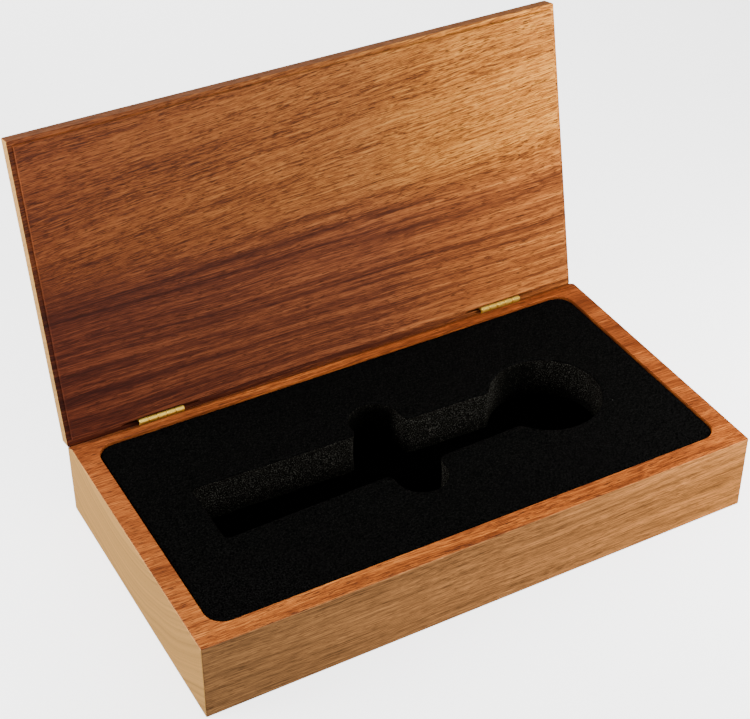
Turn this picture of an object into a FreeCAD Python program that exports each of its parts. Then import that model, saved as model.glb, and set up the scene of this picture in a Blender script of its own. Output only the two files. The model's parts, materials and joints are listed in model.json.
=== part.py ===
import FreeCAD, Part
import os
import re
import Sketcher
from FreeCAD import Rotation, Vector

# A solid-timber presentation box with a hinged lid and a die-cut foam insert.
# X runs along the box, Y from front (negative) to hinge side, Z up.
# The origin is the middle of the underside of the base. The lid stands open, as it rests.

DRIVING = {
    # timber base and lid
    "box_length": 290.0,
    "box_depth": 156.0,
    "base_height": 42.0,
    "base_floor": 8.0,
    "rim_width": 10.0,
    "cavity_corner": 9.5,
    "arris_ease": 0.7,
    "rim_ease": 0.3,
    "bevel_run": 5.8,
    "bevel_drop": 3.2,
    "plate_thickness": 8.0,
    "field_raise": 2.0,
    "rebate_width": 2.5,
    "rebate_back": 4.3,
    "closed_gap": 0.1,
    "open_angle": 102.0,
    # hinges, each with five knuckles, pressed into saw kerfs
    "axis_inset": 2.3,
    "hinge_spread": 98.0,
    "hinge_shift": 1.6,
    "barrel_radius": 1.25,
    "barrel_length": 24.0,
    "knuckle_break": 0.3,
    "knuckle_gap": 0.2,
    "pin_radius": 0.6,
    "pin_clearance": 0.05,
    "leaf_thickness": 0.8,
    "leaf_reach": 4.0,
    "leaf_clearance": 0.12,
    "neck_bite": 0.35,
    "barb_pitch": 1.3,
    "kerf_width": 1.2,
    "kerf_depth": 6.2,
    "kerf_disc": 40.0,
    # foam insert and its cut-out
    "insert_clearance": 0.3,
    "insert_recess": 1.0,
    "facing_thickness": 0.8,
    "pad_thickness": 10.0,
    "recess_left": 106.0,
    "slot_left_width": 38.6,
    "slot_right_width": 28.8,
    "round_centre": 79.0,
    "round_radius": 28.3,
    "finger_centre": -6.0,
    "finger_reach": 36.0,
    "finger_radius": 13.0,
    "slot_corner": 2.5,
    "junction_flare": 4.0,
}

# Places worked out from the driving dimensions, as formulas in their names.
AXIS_Y = "(box_depth / 2 - axis_inset)"
AXIS_Z = "base_height"
BEVEL_START = "(box_depth / 2 - bevel_run)"
KERF_MOUTH = f"(base_height - ({AXIS_Y} - {BEVEL_START}) * bevel_drop / bevel_run)"
FIELD_Z = "(base_height + closed_gap)"
REBATE_Z = f"({FIELD_Z} + field_raise)"
LEAF_START = "(barrel_radius + leaf_clearance)"
BASE_KNUCKLES = (0, 2, 4)
LID_KNUCKLES = (1, 3)
KNUCKLE_PITCH = f"(barrel_length / {len(BASE_KNUCKLES + LID_KNUCKLES)})"
INSERT_TOP = "(base_height - insert_recess)"
FOAM_TOP = f"({INSERT_TOP} - facing_thickness)"
PAD_TOP = "(base_floor + pad_thickness)"
FINGER_STRAIGHT = "(finger_reach - finger_radius)"
INSERT_LENGTH = "(box_length - 2 * rim_width - 2 * insert_clearance)"
INSERT_DEPTH = "(box_depth - 2 * rim_width - 2 * insert_clearance)"

# Edges are picked by where they are, to within this distance.
TOLERANCE = 0.01

# Cutters run on past the wood by this much, so that no face of theirs lies on a face of it.
OVERRUN = 10.0

doc = FreeCAD.newDocument("presentation_box")
sheet = doc.addObject("Spreadsheet::Sheet", "dimensions")


def fill_sheet():
    """Put each driving dimension in the sheet, with its name as the alias."""
    for row, (alias, value) in enumerate(DRIVING.items(), start=1):
        sheet.set(f"A{row}", alias)
        sheet.set(f"B{row}", str(value))
        sheet.setAlias(f"B{row}", alias)
    doc.recompute()


def qualified(formula):
    """Write a formula's dimension names the way an expression refers to the sheet."""
    def sheet_name(match):
        word = match.group(0)
        return f"dimensions.{word}" if word in DRIVING else word
    return re.sub(r"[a-z_]+", sheet_name, str(formula))


def bind(obj, formulas):
    """Hold properties to formulas."""
    for path, formula in formulas.items():
        obj.setExpression(path, qualified(formula))


def bind_place(obj, x, y, z):
    bind(obj, {"Placement.Base.x": x, "Placement.Base.y": y, "Placement.Base.z": z})


def box(name, size, corner):
    solid = doc.addObject("Part::Box", name)
    bind(solid, dict(zip(("Length", "Width", "Height"), size)))
    bind_place(solid, *corner)
    return solid


def cylinder(name, radius, height, start, turn=None):
    """A cylinder that starts at a point and runs along Z, or along Z turned by a rotation."""
    solid = doc.addObject("Part::Cylinder", name)
    if turn:
        solid.Placement.Rotation = turn
    bind(solid, {"Radius": radius, "Height": height})
    bind_place(solid, *start)
    return solid


def cylinder_along_x(name, radius, length, start):
    return cylinder(name, radius, length, start, Rotation(Vector(0, 1, 0), 90))


def joined(name, solids):
    union = doc.addObject("Part::MultiFuse", name)
    union.Shapes = solids
    union.Refine = True
    return union


def cut(name, base, tool):
    result = doc.addObject("Part::Cut", name)
    result.Base = base
    result.Tool = tool
    return result


def new_body(name):
    return doc.addObject("PartDesign::Body", name)


def sketch_on_level(body, name, level):
    """A sketch parallel to the body's XY plane, at a height."""
    plane = next(item for item in body.Origin.OriginFeatures if item.Role == "XY_Plane")
    sketch = body.newObject("Sketcher::SketchObject", name)
    sketch.AttachmentSupport = [(plane, "")]
    sketch.MapMode = "FlatFace"
    bind(sketch, {"AttachmentOffset.Base.z": level})
    return sketch


def draw_rectangle(sketch, left, right, front, back):
    """A rectangle whose sides are held at these distances from the origin."""
    first = 10.0
    corners = [(-first, -first), (first, -first), (first, first), (-first, first)]
    for (x1, y1), (x2, y2) in zip(corners, corners[1:] + corners[:1]):
        sketch.addGeometry(Part.LineSegment(Vector(x1, y1, 0), Vector(x2, y2, 0)), False)
    for side in range(4):
        sketch.addConstraint(Sketcher.Constraint("Coincident", side, 2, (side + 1) % 4, 1))
    for side, direction in enumerate(("Horizontal", "Vertical") * 2):
        sketch.addConstraint(Sketcher.Constraint(direction, side))
    origin = (-1, 1)
    front_left, back_right = (0, 1), (2, 1)
    held = (
        ("left", "DistanceX", front_left, origin, left),
        ("front", "DistanceY", front_left, origin, front),
        ("right", "DistanceX", origin, back_right, right),
        ("back", "DistanceY", origin, back_right, back),
    )
    for name, kind, near, far, formula in held:
        index = sketch.addConstraint(Sketcher.Constraint(kind, *near, *far, first))
        sketch.renameConstraint(index, name)
        bind(sketch, {f"Constraints.{name}": formula})


def pad_rectangle(body, name, level, thickness, sides):
    sketch = sketch_on_level(body, f"{name}_sketch", level)
    draw_rectangle(sketch, *sides)
    pad = body.newObject("PartDesign::Pad", name)
    pad.Profile = sketch
    bind(pad, {"Length": thickness})
    doc.recompute()
    return pad


def pocket_rectangle(body, name, level, depth, sides):
    sketch = sketch_on_level(body, f"{name}_sketch", level)
    draw_rectangle(sketch, *sides)
    pocket = body.newObject("PartDesign::Pocket", name)
    pocket.Profile = sketch
    bind(pocket, {"Length": depth})
    doc.recompute()
    return pocket


def edges_where(shape, wanted):
    """Names of the edges whose middle passes a test."""
    middles = [edge.BoundBox.Center for edge in shape.Edges]
    return [f"Edge{number}" for number, middle in enumerate(middles, start=1) if wanted(middle)]


def round_edges(body, name, feature, wanted, radius):
    fillet = body.newObject("PartDesign::Fillet", name)
    fillet.Base = (feature, edges_where(feature.Shape, wanted))
    bind(fillet, {"Radius": radius})
    doc.recompute()
    return fillet


def near(value, target):
    return abs(value - target) < TOLERANCE


def number(formula):
    """The value of a formula, for picking edges."""
    return float(sheet.evalExpression(qualified(formula)))


def centred(length, depth):
    """The four side distances of a rectangle centred on the origin."""
    return (f"{length} / 2", f"{length} / 2", f"{depth} / 2", f"{depth} / 2")


def hinge_middle(side):
    """Where a hinge's middle lies along the box; side is -1 for the left one, 1 for the right."""
    return f"({side} * hinge_spread + hinge_shift)"


def kerf(name, side, bottom, opens_up):
    """The cutter of one saw kerf: a thin disc on edge that just reaches the kerf's bottom."""
    centre_z = f"({bottom} + kerf_disc)" if opens_up else f"({bottom} - kerf_disc)"
    start = (hinge_middle(side), f"{AXIS_Y} + kerf_width / 2", centre_z)
    across = Rotation(Vector(1, 0, 0), 90)
    return cylinder(name, "kerf_disc", "kerf_width", start, across)


def kerfs(name, bottom, opens_up):
    pair = [kerf(f"{name}_left", -1, bottom, opens_up),
            kerf(f"{name}_right", 1, bottom, opens_up)]
    return joined(name, pair)


def make_base_block():
    """One block: a rounded cavity, eased arrises, a bevel under the lid and two kerfs."""
    body = new_body("base_blank")
    outside = centred("box_length", "box_depth")
    block = pad_rectangle(body, "base_outside", "0", "base_height", outside)
    half_length = number("box_length / 2")
    half_depth = number("box_depth / 2")

    def outer_arris(middle):
        if near(abs(middle.x), half_length):
            return True
        low_or_front = near(middle.z, 0) or middle.y < 0
        return near(abs(middle.y), half_depth) and low_or_front

    eased = round_edges(body, "base_eased", block, outer_arris, "arris_ease")
    inside = centred("(box_length - 2 * rim_width)", "(box_depth - 2 * rim_width)")
    depth = "base_height - base_floor"
    cavity = pocket_rectangle(body, "base_cavity", "base_height", depth, inside)
    middle_height = number("(base_height + base_floor) / 2")
    inner_reach = number("box_length / 2 - rim_width")

    def cavity_corner(middle):
        return near(middle.z, middle_height) and near(abs(middle.x), inner_reach)

    rounded = round_edges(body, "base_cavity_rounded", cavity, cavity_corner, "cavity_corner")
    rim_height = number("base_height")
    inner_depth = number("box_depth / 2 - rim_width") + TOLERANCE

    def cavity_rim(middle):
        within_rim = abs(middle.x) < inner_reach + TOLERANCE and abs(middle.y) < inner_depth
        return near(middle.z, rim_height) and within_rim

    round_edges(body, "base_rim_eased", rounded, cavity_rim, "rim_ease")
    bevel = box("base_bevel", (f"box_length + 2 * {OVERRUN}", f"{OVERRUN}", f"{OVERRUN}"),
                (f"-box_length / 2 - {OVERRUN}", BEVEL_START, "base_height"))
    bevel.Placement.Rotation = Rotation(Vector(-1, 0, 0), 1)
    bind(bevel, {"Placement.Rotation.Angle": "atan(bevel_drop / bevel_run)"})
    slots = kerfs("base_kerfs", f"({KERF_MOUTH} - kerf_depth)", True)
    return cut("base_block", body, joined("base_cutters", [bevel, slots]))


def make_lid_panel():
    """A plate with a raised inner field, modelled closed and then swung open."""
    body = new_body("lid_blank")
    outside = centred("box_length", "box_depth")
    plate = pad_rectangle(body, "lid_plate", REBATE_Z, "plate_thickness", outside)
    half_length = number("box_length / 2")
    half_depth = number("box_depth / 2")
    top = number(f"{REBATE_Z} + plate_thickness")
    plate_middle = number(f"{REBATE_Z} + plate_thickness / 2")

    def plate_arris(middle):
        upright = near(middle.z, plate_middle)
        return near(middle.z, top) or (upright and near(abs(middle.x), half_length))

    round_edges(body, "lid_eased", plate, plate_arris, "arris_ease")
    field_sides = ("box_length / 2 - rebate_width", "box_length / 2 - rebate_width",
                   "box_depth / 2 - rebate_width", "box_depth / 2 - rebate_back")
    field = pad_rectangle(body, "lid_field", FIELD_Z, "field_raise", field_sides)
    field_level = number(FIELD_Z)
    round_edges(body, "lid_field_eased", field,
                lambda middle: near(middle.z, field_level), "rim_ease")
    slots = kerfs("lid_kerfs", f"({REBATE_Z} + kerf_depth)", False)
    panel = cut("lid_panel", body, slots)
    swing_open(panel)
    return panel


def swing_open(obj):
    """Turn a piece that was modelled closed about the hinge axis, to the open rest position."""
    turn = "rotation(vector(1; 0; 0); -open_angle)"
    axis_point = f"vector(0; {AXIS_Y}; {AXIS_Z})"
    bind(obj, {"Placement": f"placement(vector(0; 0; 0); {turn}; {axis_point})"})


def make_insert_layer(name, bottom, thickness):
    """One layer of the insert, with the cut-out for the tool that the box holds."""
    body = new_body(f"{name}_blank")
    sides = centred(INSERT_LENGTH, INSERT_DEPTH)
    pad = pad_rectangle(body, f"{name}_sheet", bottom, thickness, sides)
    middle_height = number(f"{bottom} + ({thickness}) / 2")

    def upright(middle):
        return near(middle.z, middle_height)

    round_edges(body, f"{name}_corners", pad, upright, "cavity_corner - insert_clearance")
    recess = make_recess(f"{name}_recess", bottom, thickness)
    layer = cut(f"{name}_cut", body, recess)
    doc.recompute()
    slot_end = number("-recess_left")
    recess_end = number("round_centre + round_radius")
    height = number(thickness)
    corners = []
    for index, edge in enumerate(layer.Shape.Edges, start=1):
        middle = edge.BoundBox.Center
        is_corner = upright(middle) and near(edge.Length, height)
        in_recess = slot_end - TOLERANCE < middle.x < recess_end - TOLERANCE
        if not is_corner or not in_recess:
            continue
        radius = "slot_corner" if near(middle.x, slot_end) else "junction_flare"
        corners.append((index, number(radius), number(radius)))
    rounded = doc.addObject("Part::Fillet", name)
    rounded.Base = layer
    rounded.Edges = corners
    return rounded


def make_recess(name, bottom, thickness):
    """A tapering slot, a finger slot across it and a round recess at its right-hand end."""
    slot = doc.addObject("Part::Wedge", f"{name}_slot")
    bind(slot, {
        "Xmin": "-slot_left_width / 2", "Xmax": "slot_left_width / 2",
        "X2min": "-slot_right_width / 2", "X2max": "slot_right_width / 2",
        "Ymin": "-recess_left", "Ymax": "round_centre - round_radius / 2",
        "Zmin": "0", "Zmax": thickness, "Z2min": "0", "Z2max": thickness,
    })
    slot.Placement.Rotation = Rotation(Vector(0, 0, 1), -90)
    bind(slot, {"Placement.Base.z": bottom})
    end = cylinder(f"{name}_round", "round_radius", thickness, ("round_centre", "0", bottom))
    across = box(f"{name}_finger", ("2 * finger_radius", f"2 * {FINGER_STRAIGHT}", thickness),
                 ("finger_centre - finger_radius", f"-{FINGER_STRAIGHT}", bottom))
    tips = [cylinder(f"{name}_tip_{place}", "finger_radius", thickness,
                     ("finger_centre", f"{sign} * {FINGER_STRAIGHT}", bottom))
            for place, sign in (("front", -1), ("back", 1))]
    return joined(name, [slot, end, across] + tips)


def make_floor_pad():
    body = new_body("insert_floor_pad")
    pad = pad_rectangle(body, "floor_pad_sheet", "base_floor", "pad_thickness",
                        centred(INSERT_LENGTH, INSERT_DEPTH))
    middle_height = number("base_floor + pad_thickness / 2")
    round_edges(body, "floor_pad_corners", pad, lambda middle: near(middle.z, middle_height),
                "cavity_corner - insert_clearance")
    return body


def knuckle_start(side, index):
    """The left end of a knuckle, half a gap in from its share of the barrel."""
    hinge_left = f"({hinge_middle(side)} - barrel_length / 2)"
    return f"{hinge_left} + {index} * {KNUCKLE_PITCH} + knuckle_gap / 2"


def make_knuckle(name, width, start):
    """A solid barrel with broken edges at both ends; the pin's hole is cut later."""
    barrel = cylinder_along_x(f"{name}_barrel", "barrel_radius", width, (start, AXIS_Y, AXIS_Z))
    doc.recompute()
    size = number("knuckle_break")
    rims = [index for index, edge in enumerate(barrel.Shape.Edges, start=1) if edge.isClosed()]
    knuckle = doc.addObject("Part::Chamfer", name)
    knuckle.Base = barrel
    knuckle.Edges = [(index, size, size) for index in rims]
    return knuckle


def make_leaf(name, side, indices, direction, mouth, bore):
    """A hinge leaf: its knuckles, the necks that carry them and a barbed plate in the kerf.

    direction is -1 for the leaf that goes down into the base and 1 for the leaf that goes up
    into the closed lid; mouth is the height of the wood where its kerf opens.
    """
    width = f"({KNUCKLE_PITCH} - knuckle_gap)"
    plate_left = knuckle_start(side, 0)
    plate_length = "barrel_length - knuckle_gap"
    plate_front = f"{AXIS_Y} - leaf_thickness / 2"
    tip = f"({mouth} + {direction} * leaf_reach)"
    root = f"({AXIS_Z} + {direction} * {LEAF_START})"
    plate_low, plate_high = (tip, root) if direction < 0 else (root, tip)
    plate_height = f"{plate_high} - {plate_low}"
    pieces = [box(f"{name}_plate", (plate_length, "leaf_thickness", plate_height),
                  (plate_left, plate_front, plate_low))]
    inside_barrel = f"{AXIS_Z} + {direction} * (barrel_radius - neck_bite)"
    neck_low = root if direction < 0 else inside_barrel
    neck_height = f"({LEAF_START} - barrel_radius + neck_bite)"
    neck_inset = "knuckle_break"
    for index in indices:
        start = knuckle_start(side, index)
        pieces.append(make_knuckle(f"{name}_knuckle_{index}", width, start))
        pieces.append(box(f"{name}_neck_{index}",
                          (f"{width} - 2 * {neck_inset}", "leaf_thickness", neck_height),
                          (f"{start} + {neck_inset}", plate_front, neck_low)))
    pieces += make_barbs(name, plate_left, plate_length, direction, mouth)
    hole = cylinder_along_x(f"{name}_hole", bore, f"barrel_length + 2 * {OVERRUN}",
                            (f"{hinge_middle(side)} - barrel_length / 2 - {OVERRUN}",
                             AXIS_Y, AXIS_Z))
    return cut(name, joined(f"{name}_solid", pieces), hole)


def make_barbs(name, start_x, length, direction, mouth):
    """Two rows of ridges on each face of the plate, which grip the kerf's walls."""
    barb = "((kerf_width - leaf_thickness) / 2)"
    barbs = []
    for row in (1, 2):
        for face, sign in (("front", -1), ("back", 1)):
            ridge = box(f"{name}_barb_{face}_{row}",
                        (length, f"{barb} * sqrt(2)", f"{barb} * sqrt(2)"),
                        (start_x, f"{AXIS_Y} + {sign} * leaf_thickness / 2",
                         f"{mouth} + {direction} * {row} * barb_pitch - {barb}"))
            ridge.Placement.Rotation = Rotation(Vector(1, 0, 0), 45)
            barbs.append(ridge)
    return barbs


def make_hinge(name, side):
    """One hinge: base leaf with the outer and middle knuckles, lid leaf with the other two."""
    base_leaf = make_leaf(f"{name}_base_leaf", side, BASE_KNUCKLES, -1, KERF_MOUTH,
                          "pin_radius")
    lid_leaf = make_leaf(f"{name}_lid_leaf", side, LID_KNUCKLES, 1, REBATE_Z,
                         "pin_radius + pin_clearance")
    swing_open(lid_leaf)
    pin = cylinder_along_x(f"{name}_pin", "pin_radius", "barrel_length - knuckle_gap",
                           (knuckle_start(side, 0), AXIS_Y, AXIS_Z))
    return [base_leaf, lid_leaf, pin]


def check(part):
    """Stop on a failed feature or a bad shape."""
    for obj in doc.Objects:
        if {"Invalid", "Error"} & set(obj.State):
            raise RuntimeError(f"{obj.Label} did not recompute: {obj.State}")
    if part.Shape.isNull() or not part.Shape.isValid():
        raise RuntimeError(f"{part.Label} has no valid shape")


def main():
    fill_sheet()
    foam_height = f"{FOAM_TOP} - {PAD_TOP}"
    parts = [
        make_base_block(),
        make_lid_panel(),
        make_floor_pad(),
        make_insert_layer("insert_foam", PAD_TOP, foam_height),
        make_insert_layer("insert_facing", FOAM_TOP, "facing_thickness"),
    ]
    parts += make_hinge("hinge_left", -1)
    parts += make_hinge("hinge_right", 1)
    doc.recompute()
    os.makedirs("parts", exist_ok=True)
    for part in parts:
        check(part)
        part.Shape.exportStep(f"parts/{part.Label}.step")
        size = part.Shape.BoundBox
        print(f"{part.Label}: {len(part.Shape.Solids)} solid, {part.Shape.Volume:.1f} mm3, "
              f"{size.XLength:.2f} x {size.YLength:.2f} x {size.ZLength:.2f} mm")


main()
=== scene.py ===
"""Looks for the hinged timber presentation box: timber, brass, foam and felt.

Everything is in metres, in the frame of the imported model: X along the box, Y from the front
edge to the hinge edge, Z up. Lengths named with _MM are in millimetres.
"""

import json
import math
import random

import bpy
from mathutils import Euler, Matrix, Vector
from mathutils.geometry import delaunay_2d_cdt
from mathutils.noise import noise as smooth_noise
from mathutils.noise import seed_set


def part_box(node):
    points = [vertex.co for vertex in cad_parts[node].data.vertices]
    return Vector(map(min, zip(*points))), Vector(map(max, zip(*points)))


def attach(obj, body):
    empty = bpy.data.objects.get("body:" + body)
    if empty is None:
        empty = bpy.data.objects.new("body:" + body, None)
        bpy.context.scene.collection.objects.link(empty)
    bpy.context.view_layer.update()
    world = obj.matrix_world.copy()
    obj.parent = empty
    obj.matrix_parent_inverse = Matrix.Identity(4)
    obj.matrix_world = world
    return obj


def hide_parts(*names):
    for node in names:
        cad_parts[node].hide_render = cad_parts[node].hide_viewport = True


MM = 0.001
SEED = 11

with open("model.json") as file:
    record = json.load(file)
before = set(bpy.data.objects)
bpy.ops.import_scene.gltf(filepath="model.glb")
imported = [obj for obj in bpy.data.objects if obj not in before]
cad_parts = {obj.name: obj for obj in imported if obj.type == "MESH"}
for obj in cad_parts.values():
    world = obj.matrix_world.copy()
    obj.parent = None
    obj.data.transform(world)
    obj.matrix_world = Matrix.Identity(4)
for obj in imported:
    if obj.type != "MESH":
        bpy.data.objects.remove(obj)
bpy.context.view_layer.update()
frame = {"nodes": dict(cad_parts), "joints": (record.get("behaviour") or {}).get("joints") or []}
random.seed(SEED)
seed_set(SEED)


# ---------------------------------------------------------------- material graphs

class Graph:
    """Short ways to build one material's nodes."""

    def __init__(self, name):
        self.material = bpy.data.materials.new(name)
        self.material.use_nodes = True
        self.tree = self.material.node_tree
        self.tree.nodes.clear()

    def put(self, socket, value):
        if isinstance(value, bpy.types.NodeSocket):
            self.tree.links.new(value, socket)
        else:
            socket.default_value = value

    def add(self, kind, inputs=None, output=0, **settings):
        """A node with some inputs and settings; gives back one of its outputs."""
        node = self.tree.nodes.new(kind)
        for name, value in settings.items():
            setattr(node, name, value)
        for key, value in (inputs or {}).items():
            self.put(node.inputs[key], value)
        return node.outputs[output]

    def math(self, operation, first, second=0.0, clamp=False):
        return self.add("ShaderNodeMath", {0: first, 1: second}, operation=operation,
                        use_clamp=clamp)

    def vector(self, operation, first, second):
        key = "Scale" if operation == "SCALE" else 1
        return self.add("ShaderNodeVectorMath", {0: first, key: second}, operation=operation)

    def split(self, vector):
        """The X, Y and Z of a vector."""
        return self.add("ShaderNodeSeparateXYZ", {0: vector}).node.outputs

    def noise(self, point, cell, detail=2.0, roughness=0.5, distortion=0.0, output="Fac"):
        """Noise whose blobs are about cell = (x, y, z) millimetres."""
        scaled = self.vector("MULTIPLY", point, tuple(1.0 / size for size in cell))
        return self.add("ShaderNodeTexNoise",
                        {"Vector": scaled, "Scale": 1.0, "Detail": detail,
                         "Roughness": roughness, "Distortion": distortion}, output=output)

    def sway(self, point, cell, reach):
        """A smooth random shift across the X direction, of up to half of reach each way."""
        shift = self.noise(point, cell, detail=1.0, output="Color")
        shift = self.vector("SUBTRACT", shift, (0.5, 0.5, 0.5))
        return self.vector("MULTIPLY", shift, (0.0, reach, reach))

    def stretch(self, value, low, high, new_low=0.0, new_high=1.0, smooth=False):
        """Map low..high to new_low..new_high, clamped."""
        kind = "SMOOTHSTEP" if smooth else "LINEAR"
        return self.add("ShaderNodeMapRange",
                        {"Value": value, "From Min": low, "From Max": high,
                         "To Min": new_low, "To Max": new_high},
                        interpolation_type=kind, clamp=True)

    def ramp(self, value, stops):
        node = self.tree.nodes.new("ShaderNodeValToRGB")
        node.color_ramp.interpolation = "B_SPLINE"
        elements = node.color_ramp.elements
        while len(elements) < len(stops):
            elements.new(0.5)
        for element, (place, colour) in zip(elements, stops):
            element.position = place
            element.color = (*colour, 1.0)
        self.put(node.inputs["Fac"], value)
        return node.outputs["Color"]

    def mix(self, share, first, second):
        node = self.tree.nodes.new("ShaderNodeMix")
        node.data_type = "RGBA"
        for socket, value in ((node.inputs[0], share), (node.inputs[6], first),
                              (node.inputs[7], second)):
            is_colour = isinstance(value, tuple) and len(value) == 3
            self.put(socket, (*value, 1.0) if is_colour else value)
        return node.outputs[2]

    def object_point(self, rotation=(0.0, 0.0, 0.0), location=(0.0, 0.0, 0.0)):
        """The point in millimetres, after an optional turn and shift in metres."""
        here = self.add("ShaderNodeTexCoord", output="Object")
        turned = self.add("ShaderNodeMapping",
                          {"Vector": here, "Location": location, "Rotation": rotation})
        return self.vector("SCALE", turned, 1.0 / MM)

    def bump(self, height, strength, distance_mm):
        return self.add("ShaderNodeBump", {"Height": height, "Strength": strength,
                                           "Distance": distance_mm * MM})

    def finish(self, **inputs):
        """Close the graph with a Principled shader; inputs are named with _ for spaces."""
        named = {name.replace("_", " "): value for name, value in inputs.items()}
        shader = self.add("ShaderNodeBsdfPrincipled", named)
        output = self.tree.nodes.new("ShaderNodeOutputMaterial")
        self.tree.links.new(shader, output.inputs["Surface"])
        return self.material


# ---------------------------------------------------------------- timber

TIMBER_STOPS = (
    (0.00, (0.055, 0.0120, 0.0045)),
    (0.30, (0.145, 0.0330, 0.0090)),
    (0.52, (0.270, 0.0680, 0.0145)),
    (0.75, (0.390, 0.1120, 0.0240)),
    (1.00, (0.520, 0.1700, 0.0400)),
)
PORE_COLOUR = (0.045, 0.011, 0.005)
# The sawn ends' colour is partly the end grain's paleness and partly painted sheen.
END_GRAIN_AND_SHEEN_COLOUR = (0.72, 0.385, 0.110)
STRAIGHT_TINT = (0.82, 0.75, 1.12)

# Colour multipliers and colours along a board: at its left end, past its middle and at its right
# end. The multipliers are partly the wood's tone and partly painted light that changes from end
# to end.
LID_TONE_AND_LIGHT_TINTS = ((0.60, 0.54, 0.64), (0.86, 1.07, 1.15), (1.70, 2.28, 1.42))
BASE_TONE_AND_LIGHT_TINTS = ((1.48, 1.62, 1.02), (1.45, 1.50, 0.86), (1.32, 1.32, 0.68))
# The long-edge colours are painted: shade on the lid's edges, and on the base's a pale sheen
# that brightens towards the right.
LID_SHADED_SIDES = ((0.20, 0.070, 0.025), (0.22, 0.077, 0.026), (0.24, 0.085, 0.028))
BASE_SHEEN_AND_LIGHT_SIDES = ((0.42, 0.209, 0.077), (0.60, 0.260, 0.081), (0.74, 0.295, 0.074))
PAST_MIDDLE = 0.6

# The size of each layer's blobs in millimetres: along the grain, then twice across it.
DRIFT_CELL = (120.0, 46.0, 46.0)
WAVE_CELL = (26.0, 9.0, 9.0)
LINE_CELL = (34.0, 0.55, 0.55)
FIBRE_CELL = (8.0, 0.34, 0.34)
MOTTLE_CELL = (4.6, 0.85, 0.85)
PORE_CELL = (4.6, 0.42, 0.42)

# The same for layers that follow the growth rings: along the grain, then out from the pith.
BAND_CELL = (600.0, 17.0, 1.0)
STRIPE_CELL = (300.0, 3.3, 1.0)
RING_CELL = (900.0, 1.7, 1.0)
CROWDING_CELL = (90.0, 4.0, 1.0)

DRIFT_MM = 8.0
WAVE_MM = 1.5
MIDDLE_TONE = 0.46
PORE_SHARPNESS = 14.0
PAINTED_SIDE_COVER = 0.85
END_COVER = 0.9
SKIN_MM = 1.0


def grain_point(g, board, along, mottled, shift_mm, lean):
    """Where each point lies in the grain, which climbs, drifts and waves a little."""
    climb = g.math("MULTIPLY", g.math("MULTIPLY", along, lean), mottled)
    climb = g.add("ShaderNodeCombineXYZ", {"Y": climb})
    shifted = g.vector("ADD", g.vector("ADD", board, climb), shift_mm)
    drift = g.sway(shifted, DRIFT_CELL, DRIFT_MM)
    wave = g.vector("SCALE", g.sway(shifted, WAVE_CELL, WAVE_MM), mottled)
    return g.vector("ADD", g.vector("ADD", shifted, drift), wave)


def unrolled_point(g, point, along, shift_mm, pith_mm):
    """Points by growth ring: X along the grain, Y out from the pith."""
    pith = (0.0, pith_mm[0] + shift_mm[1], pith_mm[1] + shift_mm[2])
    flat = g.vector("MULTIPLY", g.vector("SUBTRACT", point, pith), (0.0, 1.0, 1.0))
    radius = g.add("ShaderNodeVectorMath", {0: flat}, output="Value", operation="LENGTH")
    return g.add("ShaderNodeCombineXYZ",
                 {"X": g.math("ADD", along, shift_mm[0]), "Y": radius})


def grain_tone(g, point, unrolled, fibres, mottled, tilt):
    """How pale the wood is, from 0 to 1: each layer adds its share to a middle tone."""
    bands = g.noise(unrolled, BAND_CELL, detail=2.0, roughness=0.5)
    stripes = g.noise(unrolled, STRIPE_CELL, detail=4.0, roughness=0.7)
    lines = g.noise(point, LINE_CELL, detail=2.0, roughness=0.65)
    mottle = g.noise(point, MOTTLE_CELL, detail=3.0, roughness=0.65, distortion=0.8)

    def share(value, weight):
        return g.math("MULTIPLY", g.math("SUBTRACT", value, 0.5), weight)

    shares = (
        share(bands, 0.55),
        share(stripes, g.stretch(mottled, 0.0, 1.0, 1.7, 0.7)),
        share(lines, g.stretch(mottled, 0.0, 1.0, 0.9, 1.6)),
        share(fibres, 1.1),
        g.math("MULTIPLY", share(mottle, 1.0), mottled),
        share(mottled, tilt),
    )
    tone = MIDDLE_TONE
    for layer in shares:
        tone = g.math("ADD", tone, layer)
    return tone


def blend_along(g, rightness, colours):
    """Three colours blended along a board; rightness goes from 0 at its left end to 1."""
    left, between, right = colours
    colour = g.mix(g.stretch(rightness, 0.0, PAST_MIDDLE), left, between)
    return g.mix(g.stretch(rightness, PAST_MIDDLE, 1.0), colour, right)


def outer_faces(g, turn, along, across, half_length_mm, half_depth_mm):
    """How far each point is on a long edge, and on a sawn end, from 0 to 1."""
    normal = g.add("ShaderNodeTexCoord", output="Normal")
    normal = g.add("ShaderNodeMapping", {"Vector": normal, "Rotation": (turn, 0.0, 0.0)},
                   vector_type="NORMAL")
    facing = g.split(normal)
    endwise = g.math("ABSOLUTE", facing["X"])
    level = g.math("ABSOLUTE", facing["Z"])

    def outermost(place, reach_mm):
        return g.math("GREATER_THAN", g.math("ABSOLUTE", place), reach_mm - SKIN_MM)

    side = g.stretch(level, 0.75, 0.35, smooth=True)
    side = g.math("MULTIPLY", side, outermost(across, half_depth_mm))
    end = g.stretch(endwise, 0.55, 0.9, smooth=True)
    end = g.math("MULTIPLY", end, outermost(along, half_length_mm))
    return side, end


def dark_pores(g, point, unrolled):
    """Short dark pores, thick in some bands and thin in others."""
    pores = g.noise(point, PORE_CELL, detail=1.0, roughness=0.4)
    crowding = g.noise(unrolled, CROWDING_CELL, detail=1.0)
    crowding = g.stretch(crowding, 0.35, 0.65, 0.63, 0.56)
    pores = g.math("SUBTRACT", pores, crowding)
    return g.math("MULTIPLY", pores, PORE_SHARPNESS, clamp=True)


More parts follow.
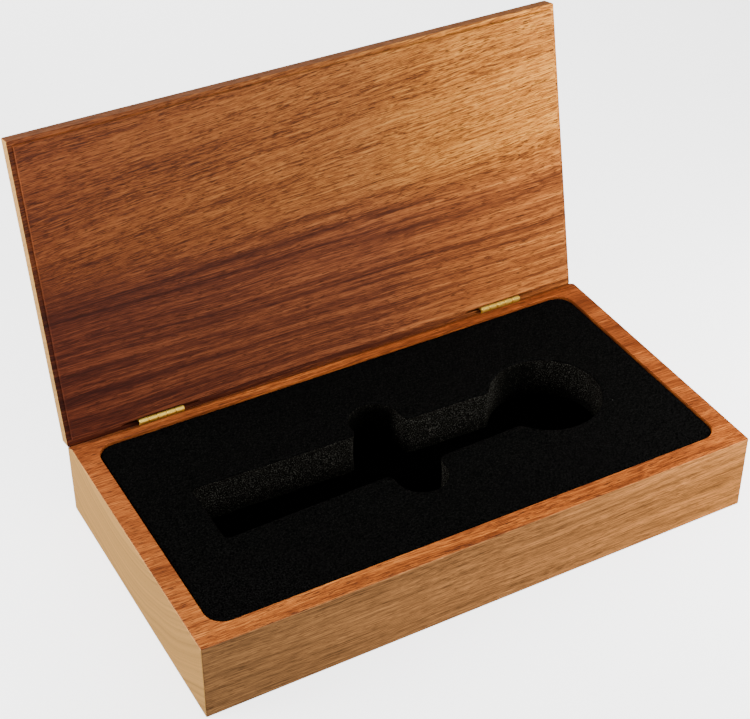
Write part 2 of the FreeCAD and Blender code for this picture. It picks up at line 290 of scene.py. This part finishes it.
def end_grain_and_sheen(g, unrolled):
    """The paler colour of the sawn ends, with faint rings: partly the end grain's own paleness
    and partly a painted pale sheen.
    """
    rings = g.noise(unrolled, RING_CELL, detail=3.0, roughness=0.7)
    return g.vector("SCALE", END_GRAIN_AND_SHEEN_COLOUR, g.stretch(rings, 0.3, 0.7, 0.70, 1.10))


def make_timber(name, shift_mm, pith_mm, figured, lean, tints_and_light, painted_sides, tilt,
                turn=0.0, move=(0.0, 0.0, 0.0)):
    """Satin reddish-brown hardwood with its grain along X.

    shift_mm picks a different stretch of the same grain for each board. pith_mm is where the
    tree's middle lies, as (y, z). figured is the board's y range, from fully mottled to plain
    straight stripes. lean is how far the mottled grain climbs across the board for each
    millimetre along it. Three colour multipliers go along the board from left to right, partly
    the wood's tone and partly painted light. The colours of its long edges go the same way and
    are painted: shade on the lid, and on the base a pale sheen. tilt makes the mottled side
    paler. turn and move bring the board to its own frame.
    """
    g = Graph(name)
    low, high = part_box("base_block")
    board = g.object_point((turn, 0.0, 0.0), move)
    along, across, _ = g.split(board)
    mottled = g.stretch(across, figured[1], figured[0], smooth=True)
    point = grain_point(g, board, along, mottled, shift_mm, lean)
    unrolled = unrolled_point(g, point, along, shift_mm, pith_mm)
    fibres = g.noise(point, FIBRE_CELL, detail=2.0, roughness=0.6)
    tone = grain_tone(g, point, unrolled, fibres, mottled, tilt)

    # the faces, tinted along the board, partly with painted light, and where its grain runs
    # straight
    rightness = g.stretch(along, low.x / MM, high.x / MM)
    tint_and_light = g.mix(mottled, STRAIGHT_TINT, (1.0, 1.0, 1.0))
    tint_and_light = g.vector("MULTIPLY", blend_along(g, rightness, tints_and_light), tint_and_light)
    colour = g.vector("MULTIPLY", g.ramp(tone, TIMBER_STOPS), tint_and_light)

    # the long edges get painted colours, shade on the lid and a pale sheen on the base; the sawn
    # ends get a paler colour that is partly painted sheen; pores show on all
    side, end = outer_faces(g, turn, along, across, high.x / MM, high.y / MM)
    painted_side_colour = g.vector("SCALE", blend_along(g, rightness, painted_sides),
                           g.stretch(tone, 0.0, 1.0, 0.3, 1.7))
    colour = g.mix(g.math("MULTIPLY", side, PAINTED_SIDE_COVER), colour, painted_side_colour)
    pores = dark_pores(g, point, unrolled)
    pore_depth = g.stretch(side, 0.0, 1.0, 0.75, 0.35)
    colour = g.mix(g.math("MULTIPLY", pores, pore_depth), colour, PORE_COLOUR)
    colour = g.mix(g.math("MULTIPLY", end, END_COVER), colour, end_grain_and_sheen(g, unrolled))

    relief = g.math("SUBTRACT", g.math("MULTIPLY", fibres, 0.35), pores)
    rough = g.stretch(fibres, 0.2, 0.8, 0.42, 0.54)
    rough = g.math("ADD", rough, g.math("MULTIPLY", pores, 0.2))
    return g.finish(Base_Color=colour, Roughness=rough, Specular_IOR_Level=0.2,
                    Normal=g.bump(relief, 0.22, 0.1))


# ---------------------------------------------------------------- brass

BRIGHT_BRASS = (1.00, 0.70, 0.12)
DULL_BRASS = (0.90, 0.56, 0.07)


def make_brass():
    """Bright lacquered brass with fine turning marks round the barrel."""
    g = Graph("hinge_brass")
    point = g.object_point()
    marks = g.noise(point, (0.12, 2.0, 2.0), detail=2.0)
    tarnish = g.noise(point, (3.0, 3.0, 3.0), detail=3.0)
    colour = g.mix(g.stretch(tarnish, 0.4, 0.75), BRIGHT_BRASS, DULL_BRASS)
    rough = g.stretch(marks, 0.3, 0.7, 0.40, 0.52)
    return g.finish(Base_Color=colour, Metallic=0.75, Roughness=rough,
                    Normal=g.bump(marks, 0.15, 0.02))


# ---------------------------------------------------------------- foam and felt

FOAM_COLOURS = ((0.0006, 0.0006, 0.0005), (0.078, 0.074, 0.062))
# The foam at the bottom of the recess gets a much darker copy of these colours: painted shade.
SHADED_FOAM_COLOURS = ((0.0003, 0.0003, 0.0003), (0.0050, 0.0050, 0.0046))
FELT_COLOURS = ((0.0004, 0.0004, 0.0004), (0.0076, 0.0074, 0.0070))
LINT_COLOUR = (0.5, 0.5, 0.47)
FAR_BACK_MM = (30.0, 23.0)
LIP_MM = 6.0


def painted_light_share(g, point):
    """Painted light and shade on the cut foam: lighter near its top, darker towards its bottom,
    and darker at the far back but for its lip.
    """
    low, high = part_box("insert_foam")
    _, depth, height = g.split(point)
    middle = (low.z + high.z) / 2
    height_light = g.stretch(height, low.z / MM, middle / MM, 0.3, 1.0, smooth=True)
    nearness = g.stretch(depth, *FAR_BACK_MM, 0.15, 1.0, smooth=True)
    lip = g.stretch(height, high.z / MM - LIP_MM, high.z / MM, 0.0, 0.6)
    return g.math("MAXIMUM", g.math("MULTIPLY", height_light, nearness), lip)


def make_foam(name, colours):
    """Black open-cell foam: small dark cells with greyer ribs and painted sparkle between them,
    under painted shade that darkens it towards its bottom and at the far back.
    """
    g = Graph(name)
    point = g.object_point()
    wobble = g.noise(point, (1.1, 1.1, 1.1), detail=2.0, output="Color")
    warped = g.vector("ADD", point, g.vector("SCALE", wobble, 0.6))
    cells = g.add("ShaderNodeTexVoronoi", {"Vector": warped, "Scale": 1.7},
                  output="Distance", feature="DISTANCE_TO_EDGE")
    ribs = g.stretch(cells, 0.16, 0.0)
    # Painted sparkle: bright specks in the base colour that stand for light glinting off the cut
    # cells.
    painted_glints = g.noise(point, (0.55, 0.55, 0.55), detail=1.0)
    painted_glints = g.stretch(painted_glints, 0.56, 0.74)
    shade = g.math("ADD", g.math("MULTIPLY", ribs, 0.15), g.math("MULTIPLY", painted_glints, 0.85))
    shade = g.math("MULTIPLY", shade, painted_light_share(g, point))
    return g.finish(Base_Color=g.mix(shade, *colours), Roughness=0.92,
                    Specular_IOR_Level=0.0, Normal=g.bump(ribs, 0.6, 0.25))


def make_felt():
    """Black felt: matted fibres, and here and there a pale speck of lint."""
    g = Graph("black_felt")
    point = g.object_point()
    mat = g.noise(point, (0.8, 0.8, 0.8), detail=3.0, roughness=0.7, distortion=0.8)
    colour = g.mix(g.stretch(mat, 0.42, 0.70), *FELT_COLOURS)
    specks = g.add("ShaderNodeTexVoronoi", {"Vector": point, "Scale": 0.045},
                   output="Distance")
    lint = g.math("MULTIPLY", g.stretch(specks, 0.012, 0.006), 0.6)
    return g.finish(Base_Color=g.mix(lint, colour, LINT_COLOUR), Roughness=0.95,
                    Specular_IOR_Level=0.0, Normal=g.bump(mat, 0.5, 0.15))


# ---------------------------------------------------------------- insert meshes

def outline_loops(node, height):
    """The closed outlines of a CAD node's flat face at a height, the longest first."""
    mesh = frame["nodes"][node].data
    spots = {}
    keys = []
    for vertex in mesh.vertices:
        keys.append((round(vertex.co.x, 6), round(vertex.co.y, 6)))
        spots[keys[-1]] = Vector((vertex.co.x, vertex.co.y))
    uses = {}
    for polygon in mesh.polygons:
        corners = list(polygon.vertices)
        level = all(abs(mesh.vertices[i].co.z - height) < 1e-5 for i in corners)
        if not level:
            continue
        for a, b in zip(corners, corners[1:] + corners[:1]):
            edge = (keys[a], keys[b])
            if (edge[1], edge[0]) in uses:
                del uses[(edge[1], edge[0])]
            else:
                uses[edge] = True
    follow = dict(uses.keys())
    loops = []
    while follow:
        start, here = next(iter(follow.items()))
        loop = [spots[start]]
        del follow[start]
        while here != start:
            loop.append(spots[here])
            here = follow.pop(here)
        loops.append(loop)
    return sorted(loops, key=loop_length, reverse=True)


def loop_length(loop):
    return sum((b - a).length for a, b in zip(loop, loop[1:] + loop[:1]))


def flat_area(node, height):
    """The area inside the longest outline and outside the others."""
    areas = []
    for loop in outline_loops(node, height):
        areas.append(abs(sum(a.cross(b) for a, b in zip(loop, loop[1:] + loop[:1]))) / 2)
    return areas[0] - sum(areas[1:])


def resampled(loop, spacing):
    """The same closed outline with evenly spaced points."""
    count = max(12, round(loop_length(loop) / spacing))
    step = loop_length(loop) / count
    points, travelled, target = [], 0.0, 0.0
    for a, b in zip(loop, loop[1:] + loop[:1]):
        length = (b - a).length
        while target < travelled + length - 1e-9 and len(points) < count:
            points.append(a.lerp(b, (target - travelled) / length))
            target += step
        travelled += length
    return points


def inward_normals(loop):
    """Unit normals that point into the material, for an outline that keeps it on its left."""
    normals = []
    for before, after in zip([loop[-1]] + loop[:-1], loop[1:] + loop[:1]):
        along = (after - before).normalized()
        normals.append(Vector((-along.y, along.x)))
    return normals


class Shell:
    """Vertices and faces of one closed piece, added ring by ring."""

    def __init__(self):
        self.points = []
        self.faces = []

    def ring(self, loop, heights):
        start = len(self.points)
        self.points += [(p.x, p.y, z) for p, z in zip(loop, heights)]
        return list(range(start, len(self.points)))

    def join(self, lower, upper):
        """Quads between two rings; they face out when the material is on the rings' left."""
        for i in range(len(lower)):
            j = (i + 1) % len(lower)
            self.faces.append((lower[i], lower[j], upper[j], upper[i]))

    def sheet(self, rings, height, spacing, faces_up):
        """Fill the space inside the first ring and outside the others with triangles."""
        known = [i for ring in rings for i in ring]
        edges, base = [], 0
        for ring in rings:
            count = len(ring)
            edges += [(base + k, base + (k + 1) % count) for k in range(count)]
            base += count
        loops = [[Vector(self.points[i][:2]) for i in ring] for ring in rings]
        flat = [spot for loop in loops for spot in loop] + grid_inside(loops, spacing)
        spots, _, triangles, sources, _, _ = delaunay_2d_cdt(flat, edges, [], 0, 1e-9)
        index = {}
        for number, (spot, source) in enumerate(zip(spots, sources)):
            first = min(source) if source else len(flat)
            if first < len(known):
                index[number] = known[first]
            else:
                index[number] = len(self.points)
                self.points.append((spot.x, spot.y, height(spot)))
        for triangle in triangles:
            middle = sum((spots[i] for i in triangle), Vector((0, 0))) / len(triangle)
            if not inside_region(middle, loops):
                continue
            corners = [index[i] for i in triangle]
            a, b, c = (spots[i] for i in triangle)
            is_up = (b - a).cross(c - a) > 0
            self.faces.append(tuple(corners if is_up == faces_up else corners[::-1]))

    def build(self, name, material):
        mesh = bpy.data.meshes.new(name)
        mesh.from_pydata(self.points, [], self.faces)
        mesh.validate()
        mesh.materials.append(material)
        mesh.polygons.foreach_set("use_smooth", [True] * len(mesh.polygons))
        piece = bpy.data.objects.new(name, mesh)
        bpy.context.scene.collection.objects.link(piece)
        return piece


def inside_loop(spot, loop):
    inside = False
    for a, b in zip(loop, loop[1:] + loop[:1]):
        if (a.y > spot.y) != (b.y > spot.y):
            cross = a.x + (spot.y - a.y) * (b.x - a.x) / (b.y - a.y)
            inside = inside != (spot.x < cross)
    return inside


def inside_region(spot, loops):
    outer, holes = loops[0], loops[1:]
    return inside_loop(spot, outer) and not any(inside_loop(spot, hole) for hole in holes)


def grid_inside(loops, spacing):
    """Jittered points inside the region, clear of its outlines."""
    low_x, high_x = min(p.x for p in loops[0]), max(p.x for p in loops[0])
    low_y, high_y = min(p.y for p in loops[0]), max(p.y for p in loops[0])
    rows = {}
    for loop in loops:
        for p in loop:
            rows.setdefault((int(p.x // spacing), int(p.y // spacing)), []).append(p)
    spots = []
    columns = int((high_x - low_x) / spacing)
    lines = int((high_y - low_y) / spacing)
    for i in range(1, columns):
        for j in range(1, lines):
            jitter = Vector((random.uniform(-0.2, 0.2), random.uniform(-0.2, 0.2))) * spacing
            spot = Vector((low_x + i * spacing, low_y + j * spacing)) + jitter
            cell = (int(spot.x // spacing), int(spot.y // spacing))
            near = [p for dx in (-1, 0, 1) for dy in (-1, 0, 1)
                    for p in rows.get((cell[0] + dx, cell[1] + dy), [])]
            if any((p - spot).length < 0.6 * spacing for p in near):
                continue
            if inside_region(spot, loops):
                spots.append(spot)
    return spots


def roughened(loop, normals, depth, height, cell):
    """Move an outline by noise along its normals, never out of the material."""
    moved = []
    for p, n in zip(loop, normals):
        lump = smooth_noise(Vector((p.x, p.y, height)) / cell)
        moved.append(p + n * depth * (0.5 + 0.5 * lump))
    return moved


# The hidden undersides get large triangles.
HIDDEN_STEP = 12 * MM

WALL_STEP = 0.8 * MM
FOAM_FLAT_STEP = 9 * MM
CELL_DEPTH = 0.28 * MM
CELL_SIZE = 0.9 * MM
WALL_BOW = 0.5 * MM


def make_foam_insert(material):
    """The die-cut foam: walls that bow in a little between cut edges and show cut cells."""
    low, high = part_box("insert_foam")
    outer, inner = (resampled(loop, WALL_STEP)
                    for loop in outline_loops("insert_foam", high.z)[:2])
    shell = Shell()
    rows = round((high.z - low.z) / WALL_STEP)
    side = [shell.ring(outer, [z] * len(outer)) for z in (low.z, high.z)]
    shell.join(side[0], side[1])
    normals = inward_normals(inner)
    rings = []
    for row in range(rows + 1):
        share = row / rows
        z = low.z + share * (high.z - low.z)
        bow = WALL_BOW * math.sin(math.pi * share)
        loop = [p + n * bow for p, n in zip(inner, normals)]
        rings.append(shell.ring(roughened(loop, normals, CELL_DEPTH, z, CELL_SIZE),
                                [z] * len(loop)))
    for lower, upper in zip(rings, rings[1:]):
        shell.join(lower, upper)
    shell.sheet([side[1], rings[-1]], lambda spot: high.z, FOAM_FLAT_STEP, True)
    shell.sheet([side[0], rings[0]], lambda spot: low.z, FOAM_FLAT_STEP, False)
    return shell.build("foam_insert", material)


FELT_STEP = 0.9 * MM
FELT_TOP_STEP = 3 * MM
FELT_ROUND = 0.65 * MM
FELT_SWELL = 0.22 * MM
FELT_SWELL_CELL = 24 * MM
FUZZ = 0.12 * MM
FUZZ_CELL = 1.3 * MM


def felt_height(spot, top):
    """The felt lies a little uneven on the foam."""
    lump = smooth_noise(Vector((spot.x, spot.y, 0.0)) / FELT_SWELL_CELL)
    return top - FELT_SWELL * (0.5 - 0.5 * lump)


def make_felt_facing(material):
    """The felt on the foam's top, with soft edges that turn down into the cut-out."""
    low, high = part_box("insert_facing")
    outer, inner = (resampled(loop, FELT_STEP)
                    for loop in outline_loops("insert_facing", high.z)[:2])
    shell = Shell()
    tops, bottoms = [], []
    for loop in (outer, inner):
        normals = inward_normals(loop)
        fuzz = [smooth_noise(Vector((p.x, p.y, 0.0)) / FUZZ_CELL) for p in loop]
        loop = [p + n * FUZZ * (1 + f) for p, n, f in zip(loop, normals, fuzz)]
        previous = shell.ring(loop, [low.z] * len(loop))
        bottoms.append(previous)
        for turn in (0.0, 22.5, 45.0, 67.5, 90.0):
            angle = math.radians(turn)
            inset = FELT_ROUND * (1 - math.cos(angle))
            rise = FELT_ROUND * math.sin(angle)
            moved = [p + n * inset for p, n in zip(loop, normals)]
            heights = [felt_height(p, high.z) - FELT_ROUND + rise for p in moved]
            ring = shell.ring(moved, heights)
            shell.join(previous, ring)
            previous = ring
        tops.append(previous)
    shell.sheet(tops, lambda spot: felt_height(spot, high.z), FELT_TOP_STEP, True)
    shell.sheet(bottoms, lambda spot: low.z, HIDDEN_STEP, False)
    return shell.build("felt_facing", material)


PAD_EDGE_STEP = 3 * MM
PAD_TOP_STEP = 2.2 * MM
PAD_LUMP = 0.15 * MM
PAD_LUMP_CELL = 2.5 * MM


def make_floor_pad(material):
    """The foam under the cut-out, whose top is the bottom of the recess."""
    low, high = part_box("insert_floor_pad")
    outer = resampled(outline_loops("insert_floor_pad", high.z)[0], PAD_EDGE_STEP)
    shell = Shell()
    bottom = shell.ring(outer, [low.z] * len(outer))
    top = shell.ring(outer, [high.z] * len(outer))
    shell.join(bottom, top)

    def lumpy(spot):
        lump = smooth_noise(Vector((spot.x, spot.y, 1.0)) / PAD_LUMP_CELL)
        return high.z - PAD_LUMP * (1 + lump)

    shell.sheet([top], lumpy, PAD_TOP_STEP, True)
    shell.sheet([bottom], lambda spot: low.z, HIDDEN_STEP, False)
    return shell.build("floor_pad", material)


# ---------------------------------------------------------------- stage

CAMERA_AZIMUTH = -28.84
CAMERA_ELEVATION = 37.0
CAMERA_DISTANCE = 0.8764
CAMERA_TARGET = Vector((0.0056, 0.0437, 0.060))
LENS_MM = 85.0

# Soft boxes: name, place, what it faces, size, watts, and whether shiny surfaces show it.
LIGHTS = (
    ("left_box", (-0.52, 0.13, 0.28), (-0.05, 0.0, 0.04), (0.30, 0.30), 4.2, True),
    ("right_box", (0.32, -0.15, 0.235), (0.12, 0.08, 0.13), (0.18, 0.18), 2.7, False),
    ("front_low", (0.0, -0.42, 0.14), (0.0, -0.05, 0.05), (0.30, 0.12), 0.6, True),
    ("back_box", (0.15, 0.80, 0.30), (0.0, 0.10, 0.08), (0.60, 0.40), 3.0, False),
    ("top_box", (-0.05, -0.10, 0.55), (0.0, 0.0, 0.04), (0.70, 0.50), 1.8, True),
)
FLOOR_REACH = 20.0
FLOOR_GLOW = 2.8
SURROUND_STRENGTH = 0.2


def place_camera():
    azimuth = math.radians(CAMERA_AZIMUTH)
    elevation = math.radians(CAMERA_ELEVATION)
    back = Vector((math.sin(azimuth) * math.cos(elevation),
                   -math.cos(azimuth) * math.cos(elevation), math.sin(elevation)))
    data = bpy.data.cameras.new("camera")
    data.lens = LENS_MM
    camera = bpy.data.objects.new("camera", data)
    camera.location = CAMERA_TARGET + back * CAMERA_DISTANCE
    camera.rotation_euler = back.to_track_quat("Z", "Y").to_euler()
    bpy.context.scene.collection.objects.link(camera)
    bpy.context.scene.camera = camera


def area_light(name, place, target, size, power, shows_in_gloss):
    data = bpy.data.lights.new(name, "AREA")
    data.shape = "RECTANGLE"
    data.size, data.size_y = size
    data.energy = power
    light = bpy.data.objects.new(name, data)
    light.location = place
    light.rotation_euler = (Vector(place) - Vector(target)).to_track_quat("Z", "Y").to_euler()
    light.visible_glossy = shows_in_gloss
    bpy.context.scene.collection.objects.link(light)


def make_floor():
    """A plain pale floor, which glows to the camera but does not light the box."""
    g = Graph("pale_floor")
    g.finish(Base_Color=(0.9, 0.9, 0.9, 1.0), Roughness=0.9, Specular_IOR_Level=0.1,
             Emission_Color=(1.0, 1.0, 1.0, 1.0), Emission_Strength=FLOOR_GLOW)
    corners = [(x * FLOOR_REACH, y * FLOOR_REACH, 0)
               for x, y in ((-1, -1), (1, -1), (1, 1), (-1, 1))]
    mesh = bpy.data.meshes.new("floor")
    mesh.from_pydata(corners, [], [(0, 1, 2, 3)])
    mesh.materials.append(g.material)
    floor = bpy.data.objects.new("floor", mesh)
    bpy.context.scene.collection.objects.link(floor)
    floor.visible_diffuse = False
    floor.visible_glossy = False


def make_surroundings():
    """Faint white light from all round, and a few soft boxes."""
    world = bpy.data.worlds.new("studio")
    world.use_nodes = True
    background = world.node_tree.nodes["Background"]
    background.inputs["Color"].default_value = (1.0, 1.0, 1.0, 1.0)
    background.inputs["Strength"].default_value = SURROUND_STRENGTH
    bpy.context.scene.world = world
    for light in LIGHTS:
        area_light(*light)


# ---------------------------------------------------------------- assembly

def dress(node, material):
    """Give a CAD node one material."""
    mesh = frame["nodes"][node].data
    mesh.materials.clear()
    mesh.materials.append(material)


def dress_timber():
    hinge = frame["joints"][0]
    axis = Vector(hinge["pos_m"])
    closing = math.radians(hinge["range_deg"][1])
    move = axis - Euler((closing, 0.0, 0.0)).to_matrix() @ axis
    lid = make_timber("timber_lid", (37.0, 310.0, 75.0), (-300.0, 170.0),
                      (-18.0, 16.0), 0.07, tints_and_light=LID_TONE_AND_LIGHT_TINTS, painted_sides=LID_SHADED_SIDES, tilt=0.2,
                      turn=closing, move=tuple(move))
    base = make_timber("timber_base", (410.0, 120.0, 33.0), (22.0, 150.0), (-240.0, 90.0), 0.03,
                       tints_and_light=BASE_TONE_AND_LIGHT_TINTS, painted_sides=BASE_SHEEN_AND_LIGHT_SIDES, tilt=0.1)
    dress("lid_panel", lid)
    dress("base_block", base)


def dress_hinges():
    brass = make_brass()
    for node in frame["nodes"]:
        if node.startswith("hinge_"):
            dress(node, brass)


def add_insert():
    foam = make_foam("black_foam", FOAM_COLOURS)
    # a much darker copy of the foam for the recess floor: painted shade
    shaded_foam = make_foam("shaded_foam", SHADED_FOAM_COLOURS)
    felt = make_felt()
    insert = make_foam_insert(foam)
    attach(insert, "base")
    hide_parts("insert_foam")
    pad = make_floor_pad(shaded_foam)
    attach(pad, "base")
    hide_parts("insert_floor_pad")
    facing = make_felt_facing(felt)
    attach(facing, "base")
    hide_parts("insert_facing")
    low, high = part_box("insert_facing")
    flat_area("insert_facing", high.z)


place_camera()
make_floor()
make_surroundings()
dress_timber()
dress_hinges()
add_insert()
